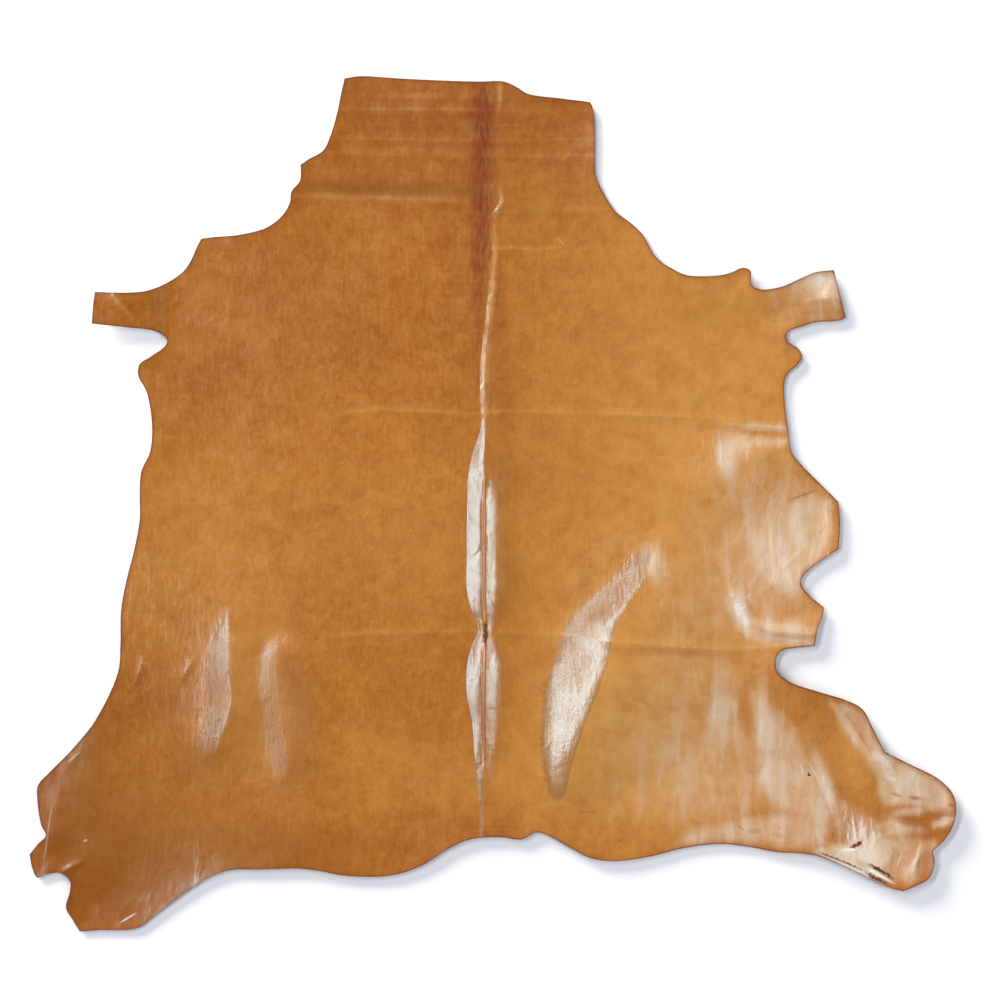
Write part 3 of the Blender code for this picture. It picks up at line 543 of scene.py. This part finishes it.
def fold_points(fold):
    """Points along a fold's crisp lines, one row on the line and one on either side of it."""
    stations = MM * np.array(fold["rows"])[:, 0]
    along = np.arange(stations.min(), stations.max(), FOLD_STEP)
    crest, low_width, high_width, _ = fold_lines(fold, along)
    lines = [crest] * (min(fold["crest"]) < CRISP) + [crest - low_width] * (fold["foot"][0] == 1)
    lines += [crest + high_width] * (fold["foot"][1] == 1)
    across = np.concatenate([line + side * FOLD_SOFTNESS for line in lines for side in (-1, 0, 1)])
    along = np.tile(along, 3 * len(lines))
    return np.column_stack((across, along) if fold["runs"] == "down" else (along, across))


def lattice_points(edge, taken):
    """Points of a triangular lattice over the hide's box, without the one nearest to each taken point."""
    low, high = edge.min(axis=0), edge.max(axis=0)
    row_pitch = LATTICE_PITCH * math.sqrt(3) / 2
    wide, deep = high - low
    rows, columns = np.indices((int(deep / row_pitch) + 2, int(wide / LATTICE_PITCH) + 2))
    free = np.ones(rows.shape, dtype=bool)
    row = np.rint((taken[:, 1] - low[1]) / row_pitch).astype(int)
    free[row, np.rint((taken[:, 0] - low[0]) / LATTICE_PITCH - row % 2 / 2).astype(int)] = False
    return np.column_stack((low[0] + (columns + rows % 2 / 2)[free] * LATTICE_PITCH,
                            low[1] + rows[free] * row_pitch))


folds = FOLDS_MM | FINE_FOLDS_MM
edge = np.concatenate([smooth_run(MM * np.array(stretch, float), OUTLINE_STEP)
                       for stretch in EDGE_MM.values()])
crisp = np.concatenate([fold_points(fold) for fold in folds.values()
                        if min(*fold["crest"], *fold["foot"]) < CRISP])
_, first_in_cell = np.unique(np.rint(crisp / POINT_ROOM), axis=0, return_index=True)
crisp = crisp[np.sort(first_in_cell)]
crisp = crisp[inside_edge(*crisp.T, edge)]
crisp = crisp[edge_distance(*crisp.T, edge) > POINT_ROOM]
lattice = lattice_points(edge, np.concatenate((edge, crisp)))
lattice = lattice[inside_edge(*lattice.T, edge)]
lattice = lattice[edge_distance(*lattice.T, edge) > POINT_ROOM]

loop = [(here, (here + 1) % len(edge)) for here in range(len(edge))]
points = [Vector(point) for point in np.concatenate((edge, crisp, lattice))]
flat, _, triangles, *_ = delaunay_2d_cdt(points, loop, [], WITHIN_LOOP, SAME_POINT)
x, y = np.array(flat).T
away = edge_distance(x, y, edge)
height = edge_height(x, y, away) + sum(fold_height(fold, x, y) for fold in folds.values())
# Painted shade: a darker base colour on the flanks that mirror the lamps, under their highlights.
flank_shade = sum(amount * shaded_flank(folds[name], side, steep, x, y)
                for name, (side, amount, steep) in SHADED_FLANK_FOLDS.items())

mesh = bpy.data.meshes.new("leather_hide")
mesh.from_pydata(np.column_stack((x, y, height)).tolist(), [], triangles)
mesh.shade_smooth()
hide = bpy.data.objects.new("leather_hide", mesh)
bpy.context.scene.collection.objects.link(hide)


def keep_field(name, values):
    """A number for each point of the sheet, which the leather's material reads by its name."""
    mesh.attributes.new(name, "FLOAT", "POINT").data.foreach_set("value", values.astype(np.float32))


def worn_and_lit_crest(fold, x, y):
    """1 on a fold's crest, falling off as a bell curve with distance, and fading where the fold does."""
    along, across = (y, x) if fold["runs"] == "down" else (x, y)
    crest, _, _, height = fold_lines(fold, along)
    stations = MM * np.array(fold["rows"])[:, 0]
    on_fold = (along > stations.min()) & (along < stations.max())
    return on_fold * np.clip(height / CREST_LINE_HEIGHT, 0, 1) * np.exp(-((across - crest) / CREST_LINE_WIDTH) ** 2)


def toned(patches, x, y):
    """Sum of the patches, each an ellipse whose strength falls off as a bell curve, held within 0 and 1."""
    total = np.zeros_like(x)
    for centre_x, centre_y, half_width, half_height, turn, strength in patches.values():
        away_x, away_y = x - centre_x * MM, y - centre_y * MM
        cosine, sine = math.cos(math.radians(turn)), math.sin(math.radians(turn))
        u = (away_x * cosine + away_y * sine) / (half_width * MM)
        v = (away_y * cosine - away_x * sine) / (half_height * MM)
        total += strength * np.exp(-u ** 2 - v ** 2)
    return np.clip(total, 0, 1)


def bloom_and_sheen(patches, x, y):
    """Strength of the patch at each point: full inside its outline, none a fade's width outside it."""
    total = np.zeros_like(x)
    for patch in patches.values():
        outline = MM * np.array(patch["outline"], float)
        inward = edge_distance(x, y, outline) * np.where(inside_edge(x, y, outline), 1, -1)
        t = np.clip(0.5 + inward / (2 * MM * patch["fade"]), 0, 1)
        total = np.maximum(total, patch["strength"] * t ** 2 * (3 - 2 * t))
    return total


# The dark stripe that runs down the neck beside the spine: y, centre x, half width, strength in 1/1000.
STRIPE_MM = [(556, -13, 18, 800), (500, -13, 17, 1000), (400, -14, 16, 1000), (330, -15, 14, 950),
             (280, -18, 11, 700), (230, -19, 9, 500), (190, -19, 7, 400), (140, -15, 5, 300),
             (122, -14, 4, 0)]

stations, *columns = MM * np.array(STRIPE_MM, float).T
centre, half_width, strength = [eased(y, stations, column) for column in columns]
stripe = strength * np.exp(-((x - centre) / half_width) ** 2)
# Some of these fields carry painted light: the crest lines and pale patches in part, the darkened flanks in
# full.
keep_field("edge_distance", away)
keep_field("stripe", stripe)
keep_field("worn_and_lit", sum(amount * worn_and_lit_crest(folds[name], x, y) for name, amount in WORN_AND_LIT_CRESTS.items()))
keep_field("flank_shade", flank_shade)
keep_field("bloom_and_sheen", bloom_and_sheen(BLOOM_AND_SHEEN_MM, x, y))
for name, patches in {"pale": PALE_AND_GLARE_MM, "red": RED_MM, "golden": GOLDEN_MM, "dark": DARK_MM,
                      "satin": SATIN_MM, "tufted": TUFTED_MM, "rumpled": RUMPLED_MM}.items():
    keep_field(name, toned(patches, x, y))

# The sheet is thickened upwards. Its upper side is in material slot 0, its lower side in 1, its rim in 2.
leather = hide.modifiers.new("leather", "SOLIDIFY")
leather.thickness = THICKNESS
leather.offset = 1.0
leather.material_offset = 1
leather.material_offset_rim = 2
hide.data = bpy.data.meshes.new_from_object(hide.evaluated_get(bpy.context.evaluated_depsgraph_get()))
hide.modifiers.clear()
hide.data.set_sharp_from_angle(angle=math.radians(SHARP_TURN))


def new_material(name):
    material = bpy.data.materials.new(name)
    material.use_nodes = True
    return material, material.node_tree, material.node_tree.nodes["Principled BSDF"]


def add_node(tree, kind, inputs, **settings):
    """A shader node with its settings. An input is a plain value or another node's output."""
    node = tree.nodes.new(kind)
    for name, value in settings.items():
        setattr(node, name, value)
    for name, value in inputs.items():
        if isinstance(value, bpy.types.NodeSocket):
            tree.links.new(value, node.inputs[name])
        else:
            node.inputs[name].default_value = value
    return node


def own_place(tree):
    """Each point's place on the hide, in metres from the middle of it."""
    return add_node(tree, "ShaderNodeTexCoord", {}).outputs["Object"]


def noise(tree, where, scale, detail, roughness, distortion=0.0):
    """A noise from 0 to 1 with so many bumps to the metre. A stretched place has the number in it."""
    return add_node(tree, "ShaderNodeTexNoise", {
        "Vector": where, "Scale": scale, "Detail": detail, "Roughness": roughness,
        "Distortion": distortion}).outputs["Fac"]


def stretched(tree, where, scale, turn=0.0):
    """The place turned by so many degrees and scaled in x, y and z, which draws a noise out into lines."""
    return add_node(tree, "ShaderNodeMapping", {"Vector": where, "Scale": scale,
                                                "Rotation": (0, 0, math.radians(turn))}).outputs["Vector"]


def calc(tree, operation, first, second, third=0.0):
    node = add_node(tree, "ShaderNodeMath", {0: first, 1: second, 2: third}, operation=operation)
    return node.outputs["Value"]


def times(tree, first, second):
    return calc(tree, "MULTIPLY", first, second)


def bumped(tree, relief, depth=MM):
    """The surface's normal, tilted as the relief would tilt it. A relief of 1 stands one depth high."""
    bump = add_node(tree, "ShaderNodeBump", {"Height": relief, "Distance": depth, "Strength": 1.0})
    return bump.outputs["Normal"]


def weighed(tree, *terms):
    """Sum of number times weight for each pair."""
    total = 0.0
    for number, weight in terms:
        total = calc(tree, "MULTIPLY_ADD", number, weight, total)
    return total


def ranged(tree, value, low, high, to_low=0.0, to_high=1.0):
    """The value's place between low and high, on a curve that eases in and out."""
    return add_node(tree, "ShaderNodeMapRange", {"Value": value, "From Min": low, "From Max": high,
                                                 "To Min": to_low, "To Max": to_high},
                    interpolation_type="SMOOTHSTEP").outputs["Result"]


def mixed(tree, factor, first, second):
    mix = add_node(tree, "ShaderNodeMixRGB", {"Fac": factor, "Color1": first, "Color2": second})
    return mix.outputs["Color"]


def field(tree, name):
    return add_node(tree, "ShaderNodeAttribute", {}, attribute_name=name).outputs["Fac"]


def spots(tree, place, table, soft=False):
    """The strongest of the table's ellipses: a crisp one has its full strength out to half its size, and
    a soft one hardly more than in its middle."""
    total = 0.0
    for centre_x, centre_y, half_length, half_width, turn, strength in table.values():
        where = add_node(tree, "ShaderNodeMapping", {
            "Vector": place, "Location": (centre_x * MM, centre_y * MM, 0),
            "Rotation": (0, 0, math.radians(turn)),
            "Scale": (half_length * MM, half_width * MM, 1)}, vector_type="TEXTURE").outputs["Vector"]
        inward = add_node(tree, "ShaderNodeTexGradient", {"Vector": where}, gradient_type="SPHERICAL")
        spot = ranged(tree, inward.outputs["Fac"], 0.0, 0.8 if soft else 0.5, 0.0, strength)
        total = calc(tree, "MAXIMUM", total, spot)
    return total


DEEP_TAN = (0.241, 0.064, 0.0038, 1)
GOLD_TAN = (0.387, 0.145, 0.017, 1)
LIGHT_TAN = (0.490, 0.236, 0.053, 1)
DARK_TAN = (0.195, 0.061, 0.004, 1)
RED_BROWN = (0.210, 0.047, 0.006, 1)
PURPLE_BROWN = (0.150, 0.025, 0.009, 1)
# Brown for blotches, and for painted shade.
BLOTCH_AND_SHADE_BROWN = (0.270, 0.085, 0.016, 1)
# Dark for the cuts and holes, and for painted shade in the valley beside the spine.
CUT_AND_SHADE_BROWN = (0.080, 0.022, 0.006, 1)
PALE_TAN = (0.480, 0.330, 0.200, 1)
# Whitish: painted glare and glints, and a few pale scratches.
GLARE_AND_SCRATCH_WHITE = (0.550, 0.490, 0.430, 1)
# Painted shade under the highlights, on the flanks that mirror the lamps.
FLANK_SHADE_BROWN = (0.150, 0.066, 0.018, 1)
# Crest lines and wrinkle lines: scuffed finish, partly a painted highlight.
SCUFF_AND_CATCHLIGHT = (0.470, 0.290, 0.130, 1)
BURNT_EDGE = (0.120, 0.035, 0.008, 1)

RAGGEDNESS = 2 * MM             # how far the marks' outlines wander
SHADE_CONTRAST = 5.0            # how far the noises carry the tan from its deep to its golden tone
NECK_STREAKS = 2.0              # the same for the streaks across the reddened neck
GLAZE_IOR = 1.68
GLAZE_TINT = (0.78, 1.0, 1.0, 1)

grain, tree, shader = new_material("grain_side")
place = own_place(tree)
# Noises, each with its scale, detail, roughness and distortion.
clouds = noise(tree, place, 7, 4, 0.6, 0.4)
mottle = noise(tree, place, 38, 6, 0.65, 0.3)
grit = noise(tree, place, 140, 3, 0.6, 0.6)
flecks = noise(tree, place, 420, 2, 0.6)
fibres = noise(tree, stretched(tree, place, (240, 60, 60)), 1, 2, 0.5, 0.2)
streaks = noise(tree, stretched(tree, place, (60, 12, 12)), 1, 3, 0.5, 0.6)
swirls = noise(tree, place, 45, 1, 0.5, 1.2)
wrinkles = noise(tree, stretched(tree, place, (85, 26, 26), 24), 1, 2, 0.5, 1.4)
neck_lines = noise(tree, stretched(tree, place, (5, 240, 240)), 1, 3, 0.6, 0.1)
undulation = noise(tree, place, 8, 2, 0.5)
tufts = noise(tree, stretched(tree, place, (120, 28, 28), 12), 1, 2, 0.5, 0.4)
rumpled = field(tree, "rumpled")
satin = field(tree, "satin")
tufted = field(tree, "tufted")
worn_and_lit = times(tree, field(tree, "worn_and_lit"), ranged(tree, mottle, 0.35, 0.65, 0.3, 0.9))

# The tan: mottled from deep to golden, then golden, dark and reddened where the hide is.
shade = weighed(tree, (clouds, 0.26), (mottle, 0.20), (grit, 0.17), (fibres, 0.14), (streaks, 0.07),
                (flecks, 0.16))
shade = calc(tree, "MULTIPLY_ADD", shade, SHADE_CONTRAST, 0.5 - SHADE_CONTRAST / 2)
shade = calc(tree, "MULTIPLY_ADD", calc(tree, "SUBTRACT", neck_lines, 0.5),
             times(tree, field(tree, "red"), NECK_STREAKS), shade)
tan = mixed(tree, calc(tree, "MAXIMUM", shade, 0.0), DEEP_TAN, GOLD_TAN)
tan = mixed(tree, times(tree, field(tree, "golden"), ranged(tree, mottle, 0.3, 0.7, 0.65, 0.95)),
            tan, LIGHT_TAN)
tan = mixed(tree, times(tree, field(tree, "dark"), 0.8), tan, DARK_TAN)
tan = mixed(tree, times(tree, field(tree, "red"), ranged(tree, mottle, 0.65, 0.35, 0.35, 1.0)),
            tan, RED_BROWN)

# The dry, pale patches, partly painted glare, and a whitish painted glare in streaks on the palest of them.
pale = times(tree, calc(tree, "MAXIMUM", field(tree, "bloom_and_sheen"), field(tree, "pale")),
             ranged(tree, weighed(tree, (mottle, 0.5), (streaks, 0.5)), 0.36, 0.64, 0.7, 1.12))
tan = mixed(tree, ranged(tree, pale, 0.0, 0.75), tan, PALE_TAN)
glare_streaks = times(tree, pale, ranged(tree, streaks, 0.48, 0.66, 0.0, 0.45))
tan = mixed(tree, calc(tree, "MAXIMUM", glare_streaks, ranged(tree, pale, 0.7, 1.0, 0.0, 0.9)), tan, GLARE_AND_SCRATCH_WHITE)

# Blotches and painted shade; wrinkle lines, scuffs with a painted catch light; painted shade on the
# flanks that mirror the lamps; the spine's stripe; pale crest lines, wear with a painted highlight; and
# the marks, with painted shade and painted glints among them.
tan = mixed(tree, times(tree, spots(tree, place, BLOTCHES_AND_SHADE_MM, soft=True),
                        ranged(tree, mottle, 0.3, 0.7, 0.6, 1.0)), tan, BLOTCH_AND_SHADE_BROWN)
tan = mixed(tree, times(tree, rumpled, ranged(tree, wrinkles, 0.55, 0.68, 0.0, 0.5)), tan, SCUFF_AND_CATCHLIGHT)
tan = mixed(tree, field(tree, "flank_shade"), tan, FLANK_SHADE_BROWN)
tan = mixed(tree, times(tree, field(tree, "stripe"), ranged(tree, fibres, 0.3, 0.7, 0.9, 0.45)),
            tan, PURPLE_BROWN)
tan = mixed(tree, worn_and_lit, tan, mixed(tree, ranged(tree, pale, 0.0, 0.4), LIGHT_TAN, SCUFF_AND_CATCHLIGHT))
wander = add_node(tree, "ShaderNodeTexNoise", {"Vector": place, "Scale": 260, "Detail": 2.0},
                  normalize=False).outputs["Color"]
ragged = add_node(tree, "ShaderNodeVectorMath", {0: wander, 1: (RAGGEDNESS, RAGGEDNESS, 0), 2: place},
                  operation="MULTIPLY_ADD").outputs["Vector"]
marks = spots(tree, ragged, MARKS_MM)
tan = mixed(tree, marks, tan, CUT_AND_SHADE_BROWN)
tan = mixed(tree, spots(tree, place, GLINTS_AND_SCRATCHES_MM), tan, GLARE_AND_SCRATCH_WHITE)

# The cut edge: a dark line, and a reddish band inside it.
edge_line = calc(tree, "MULTIPLY_ADD", mottle, 2 * MM, field(tree, "edge_distance"))
tan = mixed(tree, ranged(tree, edge_line, 3.6 * MM, 1.6 * MM, 0.0, 0.85), tan, BURNT_EDGE)
tan = mixed(tree, ranged(tree, edge_line, 10 * MM, 2 * MM, 0.0, 0.25), tan, RED_BROWN)

# Relief in millimetres: each noise times its depth.
relief = weighed(tree, (undulation, 1.4), (streaks, 0.3), (fibres, 0.04), (swirls, 0.3), (grit, 0.03),
                 (flecks, 0.008), (marks, -0.15), (times(tree, wrinkles, rumpled), 0.9),
                 (times(tree, streaks, rumpled), 0.5), (times(tree, streaks, satin), 0.5),
                 (times(tree, fibres, satin), 0.3), (times(tree, fibres, tufted), 0.15),
                 (times(tree, tufts, tufted), 1.0))
# The glaze is smooth, and duller where it is mottled, pale, rumpled, satin or marked.
roughness = weighed(tree, (1.0, 0.07), (mottle, 0.16), (fibres, 0.10), (pale, 0.15), (rumpled, 0.10),
                    (satin, 0.22), (marks, 0.6))
tree.links.new(tan, shader.inputs["Base Color"])
tree.links.new(roughness, shader.inputs["Roughness"])
tree.links.new(bumped(tree, relief), shader.inputs["Normal"])
shader.inputs["IOR"].default_value = GLAZE_IOR
shader.inputs["Specular Tint"].default_value = GLAZE_TINT

# The flesh side: a pale nap with faint veins. The cut edge: bare fibres, stained dark.
NAPPED = (0.47, 0.30, 0.17, 1)
NAPPED_DEEP = (0.34, 0.19, 0.09, 1)

flesh, tree, shader = new_material("flesh_side")
place = own_place(tree)
nap = noise(tree, place, 700, 4, 0.7)
veins = noise(tree, stretched(tree, place, (16, 9, 9), 20), 1, 6, 0.65, 1.2)
tone = ranged(tree, weighed(tree, (nap, 0.5), (veins, 0.5)), 0.38, 0.62)
tree.links.new(mixed(tree, tone, NAPPED_DEEP, NAPPED), shader.inputs["Base Color"])
tree.links.new(ranged(tree, nap, 0.3, 0.7, 0.85, 1.0), shader.inputs["Roughness"])
tree.links.new(bumped(tree, weighed(tree, (nap, 0.12), (veins, 0.6))), shader.inputs["Normal"])
shader.inputs["Sheen Weight"].default_value = 0.3
shader.inputs["Sheen Roughness"].default_value = 0.5

cut, tree, shader = new_material("cut_edge")
place = own_place(tree)
fibre = noise(tree, stretched(tree, place, (900, 900, 3000)), 1, 3, 0.6)
tree.links.new(mixed(tree, ranged(tree, fibre, 0.35, 0.65), BURNT_EDGE, RED_BROWN),
               shader.inputs["Base Color"])
tree.links.new(ranged(tree, fibre, 0.3, 0.7, 0.7, 0.95), shader.inputs["Roughness"])
tree.links.new(bumped(tree, fibre, 0.1 * MM), shader.inputs["Normal"])

for material in (grain, flesh, cut):
    hide.data.materials.append(material)

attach(hide, "root")
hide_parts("hide")


# ---- Floor -------------------------------------------------------------------------------------
# The white ground that the hide lies on and throws its soft shadow on: matt paper, rolled out flat far
# past the picture's edges. It is stage only, a hair below the hide's lowest points.

FLOOR_SIZE = 30
FLOOR_DROP = 0.3 * MM
PAPER_WHITE = (0.80, 0.80, 0.80, 1)

bpy.ops.mesh.primitive_plane_add(size=FLOOR_SIZE, location=(0, 0, -FLOOR_DROP))
floor = bpy.context.object
floor.name = "floor"
paper, tree, shader = new_material("pale_floor")
shader.inputs["Base Color"].default_value = PAPER_WHITE
shader.inputs["Roughness"].default_value = 0.9
shader.inputs["Specular IOR Level"].default_value = 0.1
floor.data.materials.append(paper)


# ---- Lights ------------------------------------------------------------------------------------
# Four flat lamps round the hide, as soft boxes on stands. The two high ones are long and narrow, and the
# folds mirror them as long highlights. The two low ones give the soft shadows, and show in no reflection.

MIDDLE = (0, 0, 0)
WORLD_COLOUR = (0.80, 0.83, 1.0, 1)
WORLD_STRENGTH = 0.1


def softbox(name, place, aim, width, height, power, colour, mirrored=True):
    """A flat lamp that faces its aim. One that isn't mirrored gives no shine, as through a polariser."""
    lamp = bpy.data.lights.new(name, "AREA")
    lamp.shape = "RECTANGLE"
    lamp.size, lamp.size_y = width, height
    lamp.energy = power
    lamp.color = colour
    box = bpy.data.objects.new(name, lamp)
    box.location = place
    box.visible_glossy = mirrored
    box.rotation_euler = (Vector(aim) - Vector(place)).to_track_quat("-Z", "Y").to_euler()
    bpy.context.scene.collection.objects.link(box)


def around(bearing, reach, height):
    """A place at a bearing anticlockwise from +X, so far out from the middle and so high."""
    return (reach * math.cos(math.radians(bearing)), reach * math.sin(math.radians(bearing)), height)


softbox("left_softbox", around(155, 1.6, 3.4), MIDDLE,
        width=3.7, height=0.42, power=82, colour=(0.91, 0.94, 1.0))
softbox("right_softbox", (1.95, -0.15, 3.4), MIDDLE,
        width=1.3, height=0.45, power=30, colour=(0.96, 0.98, 1.0))
softbox("low_key", (-4.8, 5.4, 2.4), MIDDLE,
        width=4.0, height=3.0, power=1270, colour=(1.0, 0.97, 0.94), mirrored=False)
softbox("low_fill", around(-45, 4.6, 2.2), (0.1, 0, 0),
        width=3.0, height=1.5, power=135, colour=(0.88, 0.90, 1.0), mirrored=False)

world = bpy.data.worlds.new("studio")
bpy.context.scene.world = world
world.use_nodes = True
world.node_tree.nodes["Background"].inputs["Color"].default_value = WORLD_COLOUR
world.node_tree.nodes["Background"].inputs["Strength"].default_value = WORLD_STRENGTH


# ---- Camera ------------------------------------------------------------------------------------
# It looks straight down from over the middle of the hide, with a long lens, so that the outline shows
# with no slant. Its height follows from the lens and the width of the view.

VIEW_WIDTH = 1.3                # metres across the picture, at the surface
VIEW_MIDDLE = (9.75 * MM, 5.5 * MM)
LENS = 120                      # millimetres, as the film's width is
FILM_WIDTH = 36

camera_data = bpy.data.cameras.new("camera")
camera_data.lens = LENS
camera_data.sensor_width = FILM_WIDTH
camera = bpy.data.objects.new("camera", camera_data)
camera.location = (*VIEW_MIDDLE, VIEW_WIDTH * LENS / FILM_WIDTH)
bpy.context.scene.collection.objects.link(camera)
bpy.context.scene.camera = camera
bpy.context.scene.view_settings.view_transform = "Standard"
